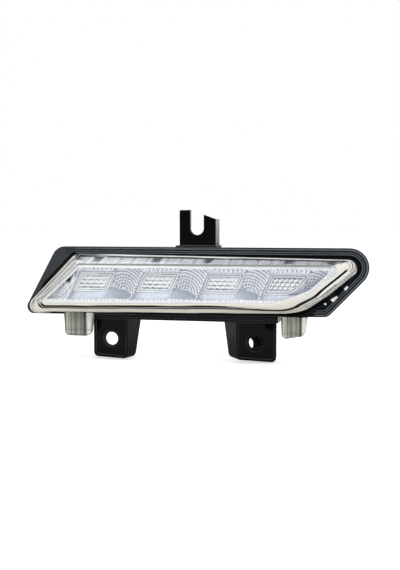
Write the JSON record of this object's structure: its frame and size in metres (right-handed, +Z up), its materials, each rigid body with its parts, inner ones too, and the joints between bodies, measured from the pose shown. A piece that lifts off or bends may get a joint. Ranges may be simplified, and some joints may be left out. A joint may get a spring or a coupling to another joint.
{
  "type": "daytime running light",
  "caption": "Bumper lamp with a clear lens over slanted light cells, set in a black housing with fixing tabs below and a slotted bracket on top.",
  "frame": {"origin": "centre of the left tab's hole, on the seat of the bolt head", "axes": "+X along the lamp towards its high end, +Z up, the lens faces -Y"},
  "size_m": [0.2417, 0.0645, 0.1065],
  "materials": {
    "housing_black": "gloss black moulding, dull where the flange is plain",
    "clear_lens": "clear moulding",
    "sealant": "dull",
    "reflector_coat": "bright metal coat on a moulding",
    "optic": "clear moulding with pillows",
    "board_white": "white solder mask",
    "led": "soft yellow",
    "pad": "soft",
    "sink": "extruded",
    "screw_steel": "zinc plated",
    "board_green": "green solder mask",
    "chip": "moulded",
    "ferrite": "shielded",
    "can": "drawn can",
    "header": "moulded",
    "pin_metal": "plated",
    "cap_black": "moulded"
  },
  "bodies": {
    "root": {"rear_housing": "housing_black", "front_lens": "clear_lens", "seal_bead": "sealant", "reflector": "reflector_coat", "inner_optic_1": "optic", "inner_optic_2": "optic", "inner_optic_3": "optic", "inner_optic_4": "optic", "led_board": "board_white", "led_1": "led", "led_2": "led", "led_3": "led", "led_4": "led", "thermal_pad": "pad", "heat_sink": "sink", "board_screws": "screw_steel", "driver_board": "board_green", "driver_chip": "chip", "coil": "ferrite", "capacitors": "can", "diode": "chip", "link_header": "header", "driver_screws": "screw_steel", "connector_pins": "pin_metal", "reflector_screws": "screw_steel", "vent_cap": "cap_black"}
  },
  "joints": []
}
